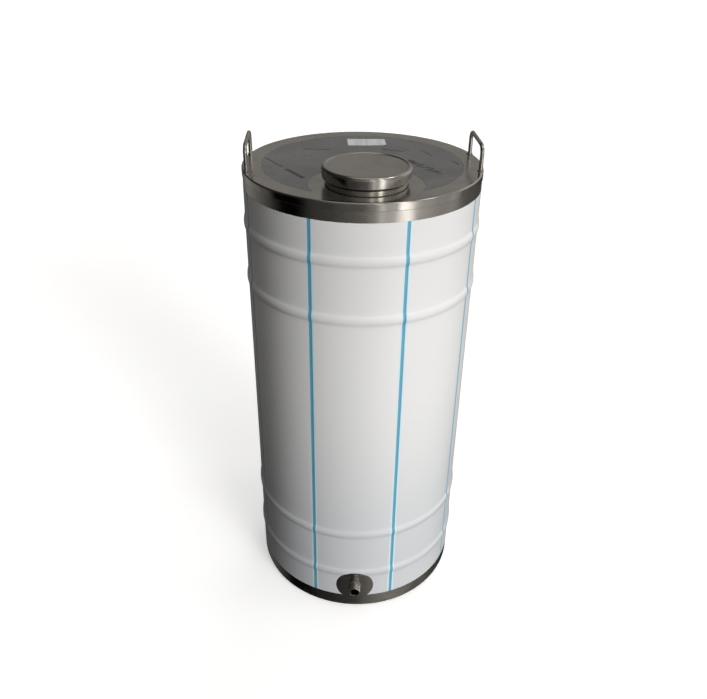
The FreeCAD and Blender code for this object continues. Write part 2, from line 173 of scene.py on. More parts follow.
class Nodes:
    """Short ways to add nodes to a material's or the world's tree."""

    def __init__(self, tree, coordinates):
        self.tree = tree
        self.place = self.add("ShaderNodeTexCoord").outputs[coordinates]

    def add(self, kind, **settings):
        node = self.tree.nodes.new(kind)
        for key, value in settings.items():
            setattr(node, key, value)
        return node

    def plug(self, value, socket):
        """Links an output to a socket, or sets the socket to a number or colour."""
        if isinstance(value, bpy.types.NodeSocket):
            self.tree.links.new(value, socket)
        else:
            socket.default_value = value

    def math(self, kind, *values):
        node = self.add("ShaderNodeMath", operation=kind)
        for value, socket in zip(values, node.inputs):
            self.plug(value, socket)
        return node.outputs[0]

    def noise(self, scale, stretch=(1, 1, 1), detail=3.0, rough=0.5, where=None, warp=0.0):
        """Noise in 0 to 1, with `scale` cells to the metre, squeezed by `stretch`."""
        mapping = self.add("ShaderNodeMapping")
        mapping.inputs["Scale"].default_value = stretch
        self.plug(where or self.place, mapping.inputs["Vector"])
        node = self.add("ShaderNodeTexNoise")
        node.inputs["Scale"].default_value = scale
        node.inputs["Detail"].default_value = detail
        node.inputs["Roughness"].default_value = rough
        node.inputs["Distortion"].default_value = warp
        self.plug(mapping.outputs[0], node.inputs["Vector"])
        return node.outputs[0]

    def steps(self, value, *stops):
        """A ramp of (place, colour) stops."""
        ramp = self.add("ShaderNodeValToRGB")
        ramp.color_ramp.elements[0].position = stops[0][0]
        ramp.color_ramp.elements[1].position = stops[-1][0]
        for place, _ in stops[1:-1]:
            ramp.color_ramp.elements.new(place)
        for element, (_, colour) in zip(ramp.color_ramp.elements, stops):
            grey = isinstance(colour, (int, float))
            element.color = (colour,) * 3 + (1,) if grey else tuple(colour) + (1,)
        self.plug(value, ramp.inputs[0])
        return ramp.outputs[0]

    def span(self, value, low, high, new_low=0.0, new_high=1.0, soft=True):
        """Carries low..high over to new_low..new_high, and holds the ends outside."""
        node = self.add("ShaderNodeMapRange", interpolation_type="SMOOTHSTEP" if soft else "LINEAR")
        for socket, number in zip(node.inputs, (value, low, high, new_low, new_high)):
            self.plug(number, socket)
        return node.outputs[0]

    def mix(self, share, first, second, blend="MIX"):
        node = self.add("ShaderNodeMix", data_type="RGBA", blend_type=blend)
        self.plug(share, node.inputs["Factor"])
        for value, socket in ((first, node.inputs[6]), (second, node.inputs[7])):
            self.plug(tuple(value) + (1,) if isinstance(value, (tuple, list)) else value, socket)
        return node.outputs[2]

    def bump(self, height, distance, strength=1.0, after=None):
        node = self.add("ShaderNodeBump")
        node.inputs["Strength"].default_value = strength
        node.inputs["Distance"].default_value = distance
        self.plug(height, node.inputs["Height"])
        if after is not None:
            self.plug(after, node.inputs["Normal"])
        return node.outputs[0]

    def split(self):
        node = self.add("ShaderNodeSeparateXYZ")
        self.plug(self.place, node.inputs[0])
        return node.outputs

    def turned(self, x, y, angle):
        """The point (x, y) measured along directions turned by an angle."""
        c, k = math.cos(angle), math.sin(angle)
        along = self.math("ADD", self.math("MULTIPLY", x, c), self.math("MULTIPLY", y, k))
        aside = self.math("SUBTRACT", self.math("MULTIPLY", y, c), self.math("MULTIPLY", x, k))
        return along, aside

    def polar(self, centre=(0, 0)):
        """(distance from an upright axis, angle about it, height) of the point."""
        x, y, z = self.split()
        x = self.math("SUBTRACT", x, centre[0])
        y = self.math("SUBTRACT", y, centre[1])
        away = self.math("SQRT", self.math("ADD", self.math("MULTIPLY", x, x), self.math("MULTIPLY", y, y)))
        return away, self.math("ARCTAN2", x, self.math("MULTIPLY", y, -1)), z

    def vector(self, x, y, z):
        node = self.add("ShaderNodeCombineXYZ")
        for value, socket in zip((x, y, z), node.inputs):
            self.plug(value, socket)
        return node.outputs[0]


class Shader(Nodes):
    """A new material's nodes, with its Principled shader ready."""

    def __init__(self, name, **sockets):
        self.material = bpy.data.materials.new(name)
        self.material.use_nodes = True
        super().__init__(self.material.node_tree, "Object")
        self.main = next(n for n in self.tree.nodes if n.type == "BSDF_PRINCIPLED")
        for socket, value in sockets.items():
            self.main.inputs[socket.replace("_", " ")].default_value = value

    def out(self, **sockets):
        """Links outputs to the Principled shader's sockets."""
        for socket, value in sockets.items():
            self.plug(value, self.main.inputs[socket.replace("_", " ")])
        return self.material


def wall_steel(name, tint, base_rough):
    """Rolled sheet: fine lines that run round the barrel, faint smears and soiling."""
    s = Shader(name, Metallic=1.0, IOR=2.2)
    away, turn, z = s.polar()
    unrolled = s.vector(s.math("MULTIPLY", turn, SHELL_R), away, z)
    grain = s.noise(900, (0.012, 1, 1), detail=4, rough=0.6, where=unrolled)
    smear = s.noise(14, (1, 1, 0.6), detail=4, rough=0.55, where=unrolled, warp=0.4)
    dirt_and_shade = s.span(s.noise(45, detail=5, rough=0.65), 0.52, 0.78)
    low_grime = s.span(z, 0.06, 0.0)
    soiled = s.math("MAXIMUM", s.math("MULTIPLY", dirt_and_shade, 0.35), s.math("MULTIPLY", dirt_and_shade, low_grime))
    colour = s.mix(grain, [c * 0.9 for c in tint], tint)
    colour = s.mix(s.math("MULTIPLY", soiled, 0.5), colour, (0.16, 0.15, 0.13))
    rough = s.span(smear, 0.3, 0.75, base_rough, base_rough + 0.14)
    rough = s.math("ADD", rough, s.math("MULTIPLY", grain, 0.08))
    return s.out(Base_Color=colour, Roughness=rough, Normal=s.bump(grain, 0.03 * MM, 0.35))


FLAT_EDGE = (235 * MM, 231 * MM)


def spun_steel(name, tint, base_rough, centre, ring=1400, depth=0.02, duller=0.0, shade_band=None):
    """Turned or buffed steel: fine rings about an upright axis, hairline scratches and finger smears.

    `duller` is added to the roughness of the flat face inside the rounded edge, and the last
    argument is the (low, high) pair of heights between which painted shade darkens the steel nearly to black.
    """
    s = Shader(name, Metallic=1.0, IOR=2.2)
    away, turn, z = s.polar(centre)
    rings = s.noise(ring, (1, 0.004, 1), detail=3, rough=0.6, where=s.vector(away, turn, z))
    scratch = s.noise(300, (1, 0.05, 1), detail=2, rough=0.4, warp=1.2)
    hair = s.span(scratch, 0.68, 0.80)
    smear = s.noise(11, detail=5, rough=0.6, warp=0.8)
    spots = s.span(s.noise(160, detail=2), 0.70, 0.76)
    colour = s.mix(s.span(smear, 0.35, 0.7), tint, [c * 0.86 for c in tint])
    colour = s.mix(s.math("MULTIPLY", spots, 0.35), colour, (0.3, 0.29, 0.27))
    rough = s.span(smear, 0.3, 0.72, base_rough, base_rough + 0.12)
    rough = s.math("ADD", rough, s.math("MULTIPLY", hair, 0.12))
    extra = {}
    if duller:
        outer, inner = FLAT_EDGE
        rough = s.math("ADD", rough, s.span(away, outer, inner, 0.0, duller))
        colour = s.mix(s.span(away, outer, inner, 0.0, 0.10), colour, (0, 0, 0))
        extra["Metallic"] = s.span(away, outer, inner, 1.0, 0.92)
    # Painted shade: a near-black band low on the skirt's rolled edge and on the neck just under it, where
    # shade falls in the gap.
    if shade_band:
        low, high = shade_band
        ring_low = s.span(z, low - 0.6 * MM, low + 0.4 * MM)
        dirt_and_shade = s.math("MULTIPLY", ring_low, s.span(z, high + 0.6 * MM, high - 0.4 * MM))
        colour = s.mix(s.math("MULTIPLY", dirt_and_shade, 0.93), colour, (0.02, 0.019, 0.017))
    wave = s.bump(s.noise(9, detail=2), 1.2 * MM, 0.12)
    fine = s.bump(rings, depth * MM, 0.4, after=wave)
    return s.out(Base_Color=colour, Roughness=rough, Normal=fine, **extra)


WELD_TINTS = [
    (0.3, (0.34, 0.31, 0.28)), (0.45, (0.48, 0.46, 0.43)),
    (0.6, (0.42, 0.38, 0.32)), (0.75, (0.32, 0.33, 0.36)),
]


def weld_steel(name, shade):
    """Weld metal: duller, with straw and blue heat tints; `shade` darkens it where it lies in a crevice."""
    s = Shader(name, Metallic=1.0, IOR=2.2)
    patch = s.noise(170, detail=4, rough=0.6, warp=0.5)
    tint = s.steps(patch, *[(place, [c * shade for c in colour]) for place, colour in WELD_TINTS])
    rough = s.span(patch, 0.3, 0.7, 0.38, 0.55)
    pits = s.noise(1500, detail=3)
    return s.out(Base_Color=tint, Roughness=rough, Normal=s.bump(pits, 0.05 * MM, 0.5))


STRIPE_STEP = 43.9
STRIPE_FIRST = 20.8


def film_white():
    """White protective film with printed blue lines, faint clouds and fine dust, painted shade towards its
    bottom and top, and painted sheen greying the ink at the sides.
    """
    s = Shader("film_white", IOR=1.5, Coat_Weight=0.25, Coat_Roughness=0.22)
    turn, z = s.polar()[1:]
    degrees = s.math("MULTIPLY", turn, 360 / TAU)
    # 100 whole steps keep FRACT's input positive, and the half puts each stripe at the middle of its step
    phase = s.math("ADD", s.math("DIVIDE", s.math("SUBTRACT", degrees, STRIPE_FIRST), STRIPE_STEP), 100.5)
    off = s.math("SUBTRACT", s.math("FRACT", phase), 0.5)
    across = s.math("MULTIPLY", off, STRIPE_STEP / 360 * TAU * SHELL_R)
    ink_edge = s.math("MULTIPLY", s.math("SUBTRACT", s.noise(260, detail=2), 0.5), 0.5 * MM)
    side = s.math("ADD", across, ink_edge)
    near = s.math("ABSOLUTE", side)
    core = s.span(near, 3.7 * MM, 3.1 * MM)
    halo = s.span(near, 8.2 * MM, 6.2 * MM)
    dark_line = s.span(s.math("ABSOLUTE", s.math("SUBTRACT", side, 1.8 * MM)), 1.2 * MM, 0.5 * MM)
    cloud = s.noise(6, (1, 1, 0.4), detail=3)
    speck = s.span(s.noise(600, detail=1), 0.73, 0.78)
    white = s.mix(cloud, (0.79, 0.797, 0.81), (0.825, 0.83, 0.84))
    # Painted shade: the film turns darker and bluer towards the bottom, by up to 30 % at 0.10 m and below.
    white = s.mix(s.span(z, 0.64, 0.10, 0.0, 0.30), white, (0.20, 0.26, 0.34))
    # Painted shade: the film darkens a little towards its top edge.
    white = s.mix(s.span(z, 0.68, 0.98, 0.0, 0.07), white, (0.25, 0.25, 0.25))
    white = s.mix(s.math("MULTIPLY", speck, 0.25), white, (0.55, 0.54, 0.52))
    ink = s.mix(s.noise(40, (1, 1, 0.3), detail=3), (0.11, 0.33, 0.47), (0.16, 0.41, 0.54))
    ink = s.mix(s.math("MULTIPLY", dark_line, 0.6), ink, (0.06, 0.24, 0.42))
    # Painted sheen: the ink is half greyed towards the sides and back, where the film's sheen washes it out
    # at grazing angles.
    ink = s.mix(s.span(s.split()[1], -0.15, -0.11, 0.0, 0.5), ink, (0.42, 0.46, 0.55))
    colour = s.mix(s.math("MULTIPLY", halo, 0.9), white, (0.62, 0.83, 0.93))
    colour = s.mix(core, colour, ink)
    creases = s.noise(120, (1, 1, 0.25), detail=3, warp=0.6)
    rough = s.span(s.noise(22, detail=4), 0.3, 0.7, 0.34, 0.46)
    waves = s.bump(s.noise(18, (1, 1, 0.5), detail=2), 0.6 * MM, 0.15)
    return s.out(Base_Color=colour, Roughness=rough, Normal=s.bump(creases, 0.06 * MM, 0.25, after=waves))


# (left, up, angle, length, width) of each plain dash, in the pressed top's own directions, mm and degrees
PRINTED_DASHES = [
    (-177, 2, -59, 76, 5),
    (-134, -71, -58, 70, 10),
    (-92, 94, -4, 58, 7),
    (68, 85, -24, 50, 6),
    (137, 66, -66, 44, 5),
    (187, -4, -72, 30, 5),
    (100, 2, -59, 34, 12),
    (139, -65, -59, 34, 6),
]
PRINTED_DASHES += [(97 + 8 * i, 6 - 13 * i, 34 - 44 * (i % 2), 24, 7) for i in range(6)]


def film_top():
    """Bluish see-through film laid on polished steel, with plain printed dashes."""
    s = Shader("film_top", Metallic=0.75, IOR=1.5, Coat_Weight=0.5, Coat_Roughness=0.12)
    x, y = s.split()[:2]
    head_x, head_y = s.turned(x, y, HEAD_TURN)
    marks = 0.0
    for left, up, angle, length, width in PRINTED_DASHES:
        dx, dy = s.math("SUBTRACT", head_x, left * MM), s.math("SUBTRACT", head_y, up * MM)
        along, aside = s.turned(dx, dy, math.radians(angle))
        in_length = s.span(s.math("ABSOLUTE", along), length / 2 * MM, (length / 2 - 1.5) * MM)
        in_width = s.span(s.math("ABSOLUTE", aside), width / 2 * MM, (width / 2 - 0.8) * MM)
        inside = s.math("MULTIPLY", in_length, in_width)
        marks = s.math("MAXIMUM", marks, inside)
    cloud = s.noise(7, detail=4, warp=0.7)
    colour = s.mix(s.span(cloud, 0.3, 0.7), (0.20, 0.207, 0.212), (0.27, 0.276, 0.28))
    worn = s.span(s.noise(70, detail=3), 0.24, 0.36)
    colour = s.mix(s.math("MULTIPLY", marks, worn), colour, (0.02, 0.022, 0.026))
    rough = s.span(s.noise(16, detail=4), 0.3, 0.7, 0.22, 0.36)
    waves = s.bump(s.noise(40, detail=3, warp=0.5), 0.5 * MM, 0.18)
    return s.out(Base_Color=colour, Roughness=rough, Normal=waves)


def label_paper():
    """A paper label with plain grey bars where its print would be."""
    s = Shader("label_paper", IOR=1.45)
    x, y = s.split()[:2]
    centre = middle("label")
    dx, dy = s.math("SUBTRACT", x, centre.x), s.math("SUBTRACT", y, centre.y)
    along, up = s.turned(dx, dy, HEAD_TURN)
    line = s.math("FRACT", s.math("ADD", s.math("DIVIDE", up, 9 * MM), 100.3))
    row = s.math("MULTIPLY", s.span(line, 0.30, 0.36), s.span(line, 0.66, 0.60))
    blocks = s.span(s.noise(95, (1, 0.02, 0.02), detail=1), 0.40, 0.44)
    in_x = s.span(s.math("ABSOLUTE", along), 35 * MM, 34 * MM)
    in_y = s.span(s.math("ABSOLUTE", up), 20 * MM, 19 * MM)
    ink = s.math("MULTIPLY", s.math("MULTIPLY", row, blocks), s.math("MULTIPLY", in_x, in_y))
    fibre = s.noise(900, detail=4)
    paper = s.mix(fibre, (0.60, 0.61, 0.62), (0.68, 0.69, 0.69))
    colour = s.mix(s.math("MULTIPLY", ink, 0.55), paper, (0.16, 0.17, 0.19))
    rough = s.span(fibre, 0.3, 0.7, 0.5, 0.62)
    return s.out(Base_Color=colour, Roughness=rough, Normal=s.bump(fibre, 0.03 * MM, 0.3))


def gasket_rubber():
    """White food-grade rubber, slightly mottled."""
    s = Shader("gasket_rubber", IOR=1.45)
    mottle = s.noise(120, detail=4)
    colour = s.mix(mottle, (0.70, 0.70, 0.66), (0.80, 0.80, 0.77))
    grit = s.noise(1200, detail=2)
    rough = s.span(mottle, 0.3, 0.7, 0.5, 0.65)
    return s.out(Base_Color=colour, Roughness=rough, Normal=s.bump(grit, 0.03 * MM, 0.4))


def floor_paint():
    """A plain pale floor, with barely visible unevenness."""
    s = Shader("floor_pale", IOR=1.4, Emission_Strength=0.56)
    cloud = s.noise(1.3, detail=3)
    colour = s.mix(cloud, (0.83, 0.83, 0.83), (0.85, 0.85, 0.85))
    return s.out(Base_Color=colour, Roughness=s.span(s.noise(30), 0.3, 0.7, 0.7, 0.8), Emission_Color=colour)


def backdrop_paint():
    """A plain pale backdrop, evenly lit."""
    s = Shader("backdrop_pale", IOR=1.4, Base_Color=(0.02, 0.02, 0.02, 1), Emission_Strength=1.0)
    cloud = s.noise(0.15, detail=2)
    return s.out(Emission_Color=s.mix(cloud, (0.88, 0.88, 0.88), (0.93, 0.93, 0.93)))


CAP_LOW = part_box("cap_cover")[0].z

WALL = wall_steel("wall_steel", tint=(0.60, 0.575, 0.54), base_rough=0.13)
DISC = spun_steel("disc_steel", tint=(0.62, 0.595, 0.56), base_rough=0.10, centre=(0, 0), duller=0.07)
# The cap's steel gets a painted shade band from 4.2 mm under the cover's lower edge to 1 mm above it.
CAP = spun_steel("cap_steel", tint=(0.60, 0.575, 0.54), base_rough=0.12, centre=tuple(NECK.xy),
                 depth=0.03, shade_band=(CAP_LOW - 4.2 * MM, CAP_LOW + 1.0 * MM))
ROD = spun_steel("rod_steel", tint=(0.62, 0.60, 0.57), base_rough=0.12, centre=(0, 0),
                 ring=300, depth=0.008)
WELD = weld_steel("weld_metal", shade=1.0)
CREVICE_WELD = weld_steel("weld_in_crevice", shade=0.3)
FILM = film_white()
TOP_FILM = film_top()
PAPER = label_paper()
RUBBER = gasket_rubber()

CAD_FINISH = {
    WALL: ["tank_shell", "base_ring", "bottom_head"],
    WELD: ["bottom_weld"],
    CAP: ["fill_neck", "cap_plug"],
    ROD: ["handle_left", "handle_right"],
    RUBBER: ["cap_gasket"],
}
for finish, nodes in CAD_FINISH.items():
    for node in nodes:
        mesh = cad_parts[node].data
        mesh.materials.clear()
        mesh.materials.append(finish)


# ---------------------------------------------------------------- film on the barrel

def bead_rise(z):
    """How far the barrel's skin stands out at a height, with soft toes to the rolled beads."""
    crown_r = (BEAD_HALF ** 2 + RISE ** 2) / (2 * RISE)
    reach = BEAD_HALF + BEAD_TOE
    toe_lift = TOE_BEND * reach ** 2 / BEAD_TOE
    out = 0.0
    for bead in BEADS:
        off = abs(z - bead)
        crown = math.sqrt(max(crown_r ** 2 - off ** 2, 0)) - crown_r + RISE if off < BEAD_HALF else 0.0
        toe = toe_lift * (1 - off / reach) ** 2 if off < reach else 0.0
        out = max(out, crown, min(toe, TOE_HIGH) if off > BEAD_HALF - 2 * MM else 0.0)
    return out


def film_heights():
    """Heights for the film's rows: close together over the beads, wider between them."""
    rows = {round(FILM_LOW, 6), round(FILM_HIGH, 6)}
    rows.update(np.round(np.arange(FILM_LOW, FILM_HIGH, 9 * MM), 6))
    for bead in BEADS:
        rows.update(np.round(bead + np.linspace(-22, 22, 34) * MM, 6))
    rows = sorted(rows)
    kept = [rows[0]]
    for z in rows[1:]:
        if z - kept[-1] > 0.7 * MM:
            kept.append(z)
    kept[-1] = rows[-1]
    return kept


def build_film():
    """The white film: follows the beads, open along the seam weld, cut round the drain."""
    turns = np.linspace(-FILM_HALF_TURN, FILM_HALF_TURN, 541)
    heights = film_heights()
    front = np.zeros((len(turns), len(heights), 3))
    back = np.zeros_like(front)
    for j, z in enumerate(heights):
        stand = bead_rise(z)
        near_bead = max(math.exp(-((abs(z - b) - BEAD_HALF) / (5 * MM)) ** 2) for b in BEADS)
        edge = math.exp(-min(z - FILM_LOW, FILM_HIGH - z) / (4 * MM))
        for i, turn in enumerate(turns):
            px, py = math.sin(turn), -math.cos(turn)
            loose = 0.5 + 0.5 * hills(px * SHELL_R, py * SHELL_R, z * 0.5, 60 * MM)
            pucker = max(hills(px * SHELL_R, py * SHELL_R, z * 0.15, 9 * MM), 0)
            lift = 0.06 * MM * loose + 0.10 * MM * near_bead * pucker + 0.12 * MM * edge * loose
            lift += 0.5 * MM * math.exp(-(FILM_HALF_TURN - abs(turn)) * SHELL_R / (5 * MM)) * loose
            inner = SHELL_R + stand + 0.02 * MM + lift * 0.5
            outer = min(inner + 0.13 * MM, SHELL_R + RISE + 0.2 * MM)
            ragged = 0.25 * MM * hills(px, py, 0, 0.05) if j in (0, len(heights) - 1) else 0.0
            front[i, j] = (px * outer, py * outer, z + ragged)
            back[i, j] = (px * (outer - 0.12 * MM), py * (outer - 0.12 * MM), z + ragged)
    whole = sheet_solid("film_whole", front, back)
    return cut_round(whole, "film_barrel", FILM_CUT_R)


def cut_round(mesh, name, radius):
    """The mesh less a round hole about the drain's axis."""
    solid = bpy.data.objects.new(name, mesh)
    bpy.context.scene.collection.objects.link(solid)
    work = bmesh.new()
    bmesh.ops.create_cone(work, cap_ends=True, segments=160, radius1=radius, radius2=radius, depth=0.1)
    bmesh.ops.rotate(work, verts=work.verts, matrix=Matrix.Rotation(math.pi / 2, 3, "X"))
    bmesh.ops.translate(work, verts=work.verts, vec=(0, -SHELL_R, DRAIN_Z))
    cutter_mesh = bpy.data.meshes.new("cutter")
    work.to_mesh(cutter_mesh)
    work.free()
    cutter = bpy.data.objects.new("cutter", cutter_mesh)
    bpy.context.scene.collection.objects.link(cutter)
    cut = solid.modifiers.new("cut", "BOOLEAN")
    cut.operation = "DIFFERENCE"
    cut.solver = "EXACT"
    cut.object = cutter
    shown = solid.evaluated_get(bpy.context.evaluated_depsgraph_get())
    result = bpy.data.meshes.new_from_object(shown)
    result.name = name
    for leftover in (solid, cutter):
        bpy.data.objects.remove(leftover)
    return result


add_piece("film_barrel", build_film(), FILM, replaces=["body_film"])


# ---------------------------------------------------------------- film and label on the top

def turned_with_head(x, y):
    """Turns a place from the pressed top's own directions to the tank's."""
    c, s = math.cos(HEAD_TURN), math.sin(HEAD_TURN)
    return x * c - y * s, x * s + y * c


def build_top_film():
    """The top's film: a disc with a bite cut out round the neck, slightly wavy."""
    outer_r, bite_r, offset = 202 * MM, 108 * MM, NECK.length
    back_y = -(offset ** 2 + outer_r ** 2 - bite_r ** 2) / (2 * offset)
    tip = math.atan2(math.sqrt(outer_r ** 2 - back_y ** 2), -back_y)
    bite_tip = math.atan2(math.sqrt(outer_r ** 2 - back_y ** 2), back_y + offset)
    rows, cols = 261, 40
    front = np.zeros((rows, cols, 3))
    back = np.zeros_like(front)
    for i, t in enumerate(np.linspace(-1, 1, rows)):
        out_turn = t * (math.pi - tip)
        in_turn = t * bite_tip
        outer = Vector((outer_r * math.sin(out_turn), outer_r * math.cos(out_turn), 0))
        inner = Vector((bite_r * math.sin(in_turn), bite_r * math.cos(in_turn) - offset, 0))
        for j, u in enumerate(np.linspace(0, 1, cols)):
            p = inner.lerp(outer, u)
            wave = 0.5 + 0.5 * hills(p.x, p.y, 0.3, 38 * MM, 2)
            lifted = 0.10 * MM * math.exp(-min(u, 1 - u) * (outer - inner).length / (3 * MM))
            z = TOP + 0.06 * MM + 0.16 * MM * wave + lifted
            x, y = turned_with_head(p.x, p.y)
            front[i, j] = (x, y, z)
            back[i, j] = (x, y, z - 0.08 * MM)
    return sheet_solid("film_top", front, back)


def build_label():
    """The label: round corners, two of them curled up a little."""
    low_x, low_y, high_x, high_y = -24 * MM, 123 * MM, 58 * MM, 173 * MM
    cols, rows = 61, 41
    corner = 3 * MM
    front = np.zeros((rows, cols, 3))
    back = np.zeros_like(front)
    for i in range(rows):
        for j in range(cols):
            x = low_x + (high_x - low_x) * j / (cols - 1)
            y = low_y + (high_y - low_y) * i / (rows - 1)
            ex, ey = min(x - low_x, high_x - x), min(y - low_y, high_y - y)
            if ex < corner and ey < corner:
                away = math.hypot(corner - ex, corner - ey)
                shrink = max(corner - ex, corner - ey) / away
                x += math.copysign((corner - ex) * (1 - shrink), (low_x + high_x) / 2 - x)
                y += math.copysign((corner - ey) * (1 - shrink), (low_y + high_y) / 2 - y)
            curl = 0.9 * MM * math.exp(-math.hypot(high_x - x, low_y - y) / (9 * MM))
            curl += 0.5 * MM * math.exp(-math.hypot(low_x - x, high_y - y) / (7 * MM))
            z = TOP + 0.36 * MM + 0.05 * MM * hills(x, y, 0, 25 * MM) + curl
            px, py = turned_with_head(x, y)
            front[i, j] = (px, py, z)
            back[i, j] = (px, py, z - 0.12 * MM)
    return sheet_solid("label_sheet", front, back)


add_piece("film_on_top", build_top_film(), TOP_FILM, replaces=["top_film"])
add_piece("label_sheet", build_label(), PAPER, replaces=["label"])


# ---------------------------------------------------------------- pressed top and cap's cover

CAP_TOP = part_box("cap_cover")[1].z
CAP_R = (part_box("cap_cover")[1].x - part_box("cap_cover")[0].x) / 2
CAP_GAUGE = 1.2 * MM
CAP_CORNER = 6.5 * MM
PANEL_R = 75 * MM
PANEL_DROP = 1.6 * MM
EDGE_ROLL = 2.2 * MM
SKIRT_LEAN = 1.2 * MM


def arc(across, up, radius, start, end, count):
    """Points of an arc in a lathe's profile; 0 degrees points outwards and 90 up."""
    turns = np.radians(np.linspace(start, end, count))
    return [(across + radius * math.cos(t), up + radius * math.sin(t)) for t in turns]


def lathe(name, profile, centre, around=256):
    """A closed profile of (radius, height) turned about an upright axis."""
    points = []
    for k in range(around):
        c, s = math.cos(TAU * k / around), math.sin(TAU * k / around)
        points += [(centre.x + r * c, centre.y + r * s, z) for r, z in profile]
    return mesh_from(name, points, tube_faces(around, len(profile), True))


def build_cover():
    """The pressed cover: sunk panel, raised rim, rounded corner, skirt with its edge rolled in."""
    corner_r, corner_z = CAP_R - CAP_CORNER, CAP_TOP - CAP_CORNER
    panel_z = CAP_TOP - PANEL_DROP
    axle = 0.05 * MM
    inside = CAP_R - CAP_GAUGE - SKIRT_LEAN
    roll_r, roll_z = CAP_R - EDGE_ROLL - SKIRT_LEAN, CAP_LOW + EDGE_ROLL
    profile = [(axle, panel_z)] + [(r * MM, panel_z) for r in (20, 40, 60, 71)]
    profile += arc(PANEL_R - 1.6 * MM, panel_z + 1.8 * MM, 1.8 * MM, -88, -42, 6)
    profile += arc(corner_r - 0.6 * MM, CAP_TOP - 1.0 * MM, 1.0 * MM, 138, 92, 6)
    profile += arc(corner_r, corner_z, CAP_CORNER, 90, 0, 18)
    profile += [(CAP_R - SKIRT_LEAN * t, corner_z + (roll_z - corner_z) * t) for t in (0.25, 0.5, 0.75)]
    profile += arc(roll_r, roll_z, EDGE_ROLL, 0, -65, 8)
    profile += [(roll_r + 0.3 * MM, CAP_LOW), (roll_r - 0.5 * MM, CAP_LOW + 0.2 * MM)]
    profile += [(inside, roll_z + 0.6 * MM)]
    profile += arc(corner_r, corner_z, CAP_CORNER - CAP_GAUGE, 0, 90, 14)
    profile += [(PANEL_R + 0.7 * MM, panel_z - CAP_GAUGE), (axle, panel_z - CAP_GAUGE)]
    return lathe("cap_cover_pressed", profile, NECK)


HEAD_CORNER = 3 * MM


def build_head():
    """The pressed top: flat sheet round the neck's hole, rounded edge and turned-down flange."""
    around, steps = 360, 10
    flat_r, hole_r = HEAD_R - 2 * HEAD_CORNER, NECK_R + 0.2 * MM
    corner_r, corner_z = HEAD_R - HEAD_CORNER, TOP - HEAD_CORNER
    edge = arc(corner_r, corner_z, HEAD_CORNER, 90, 0, 12)
    edge += [(HEAD_R, FLANGE_LOW + 4 * MM), (HEAD_R, FLANGE_LOW)]
    edge += [(HEAD_R - SHEET, FLANGE_LOW)]
    edge += arc(corner_r, corner_z, HEAD_CORNER - SHEET, 0, 90, 8)
    points = []
    for k in range(around):
        c, s = math.cos(TAU * k / around), math.sin(TAU * k / around)
        upper = []
        for u in np.linspace(0, 1, steps):
            radius = hole_r * (1 - u) + flat_r * u
            upper.append((NECK.x * (1 - u) + radius * c, NECK.y * (1 - u) + radius * s, TOP))
        points += upper
        points += [(r * c, r * s, z) for r, z in edge]
        points += [(x, y, z - SHEET) for x, y, z in reversed(upper)]
    return mesh_from("top_head_pressed", points, tube_faces(around, 2 * steps + len(edge), True))


add_piece("top_head_pressed", build_head(), DISC, replaces=["top_head"], sharp=50)
add_piece("cap_cover_pressed", build_cover(), CAP, body="cap",
          replaces=["cap_cover"], sharp=50)


# ---------------------------------------------------------------- drain stub with its thread

PITCH = 1.814 * MM
THREAD_LENGTH = 17 * MM
BORE_R = 10.5 * MM


def build_stub():
    """G 3/4 stub: a rounded Whitworth thread that runs out onto a plain shank, bevelled mouth, bore."""
    around = 128
    length = STUB_ROOT - STUB_TIP
    stations = np.concatenate([[0.0, 0.15 * MM], np.arange(0.3 * MM, THREAD_LENGTH, PITCH / 12), [length]])
    crest = STUB_R - 0.02 * MM - SHANK_R

    def ring_point(k, r, s):
        """Point k of a ring of radius r that lies s behind the stub's mouth."""
        angle = TAU * k / around
        return (r * math.cos(angle), STUB_TIP + s, DRAIN_Z + r * math.sin(angle))

    points = []
    for s in stations:
        bevel = min(1.0, (s + 0.02 * MM) / (1.1 * MM))
        run_out = 1 - smooth((s - (THREAD_LENGTH - 2 * MM)) / (1.6 * MM))
        for k in range(around):
            ridge = 0.5 + 0.5 * math.cos(TAU * (s / PITCH - k / around))
            ridge = smooth(ridge * 1.1 - 0.05) * run_out
            points.append(ring_point(k, SHANK_R + crest * min(ridge, bevel), s))
    bore = [(BORE_R + 0.5 * MM, 0.0), (BORE_R + 0.12 * MM, 0.15 * MM), (BORE_R, 0.5 * MM), (BORE_R, length)]
    for r, s in reversed(bore):
        points += [ring_point(k, r, s) for k in range(around)]
    rings = len(stations) + len(bore)
    return mesh_from("stub_threaded", points, tube_faces(rings, around, True))


add_piece("stub_threaded", build_stub(), WALL, replaces=["drain_stub"], sharp=50)


# ---------------------------------------------------------------- welds

def weld_bead(name, stations, leg, ripples, closed=True, seed=0):
    """A fillet weld laid in ripples along stations of (corner, way along one face, way along the other)."""
    cross = 9
    points = []
    count = len(stations)
    for i, (corner, first, second) in enumerate(stations):
        t = i / count * ripples
        ripple = (1 - (t % 1.0)) ** 1.5
        wander = noise.noise(Vector((t * 0.21, seed, 0.5)))
        size = leg * (0.86 + 0.12 * ripple + 0.10 * wander)
        points.append(corner - (first + second) * 0.2 * MM)
        for k in range(cross):
            a = math.pi / 2 * k / (cross - 1)
            bulge = 0.78 + 0.14 * math.sin(2 * a)
            points.append(corner + (first * math.cos(a) + second * math.sin(a)) * size * (bulge / 0.78))
    return mesh_from(name, points, tube_faces(count, cross + 1, closed))


def ring_stations(centre, radius, height, outwards, upwards, count):
    """Stations round an upright axis, in the corner at a radius and a height."""
    made = []
    for k in range(count):
        a = TAU * k / count
        way = Vector((math.cos(a), math.sin(a), 0))
        corner = Vector((centre.x, centre.y, height)) + way * radius
        made.append((corner, way * outwards, Vector((0, 0, upwards))))
    return made


